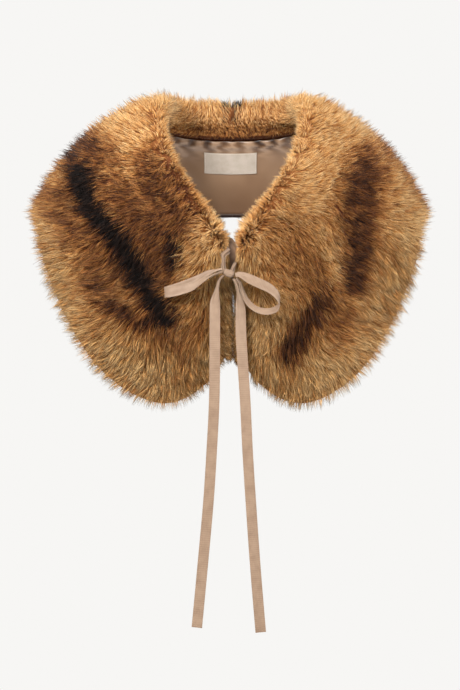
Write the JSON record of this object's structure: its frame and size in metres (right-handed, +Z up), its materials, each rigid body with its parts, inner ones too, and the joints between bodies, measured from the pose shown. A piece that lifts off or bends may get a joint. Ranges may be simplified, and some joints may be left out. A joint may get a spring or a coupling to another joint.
{
  "type": "fur collar wrap",
  "caption": "Crescent collar wrap of long faux fur with a satin lining, in its worn shape, tied at the chest with a narrow ribbon bow.",
  "frame": {"origin": "on the neck's axis at the level of the neck seam at the nape, where the wrap lies on its wearer's shoulders", "axes": "+Z up along the wearer's neck, -Y to the wearer's front, +X to the wearer's left"},
  "size_m": [0.5159, 0.3228, 0.6783],
  "materials": {
    "fur": "long pile faux fur, golden tan with dark brown stripes",
    "lining": "taupe satin, soft sheen",
    "label": "woven label, bare, matte",
    "ribbon": "beige grosgrain ribbon, low sheen"
  },
  "bodies": {
    "root": {"fur_left": "fur", "fur_right": "fur", "lining": "lining", "label": "label", "knot": "ribbon", "tie_right": "ribbon", "tie_left": "ribbon", "loop_right": "ribbon", "loop_left": "ribbon", "tail_right": "ribbon", "tail_left": "ribbon"}
  },
  "joints": []
}
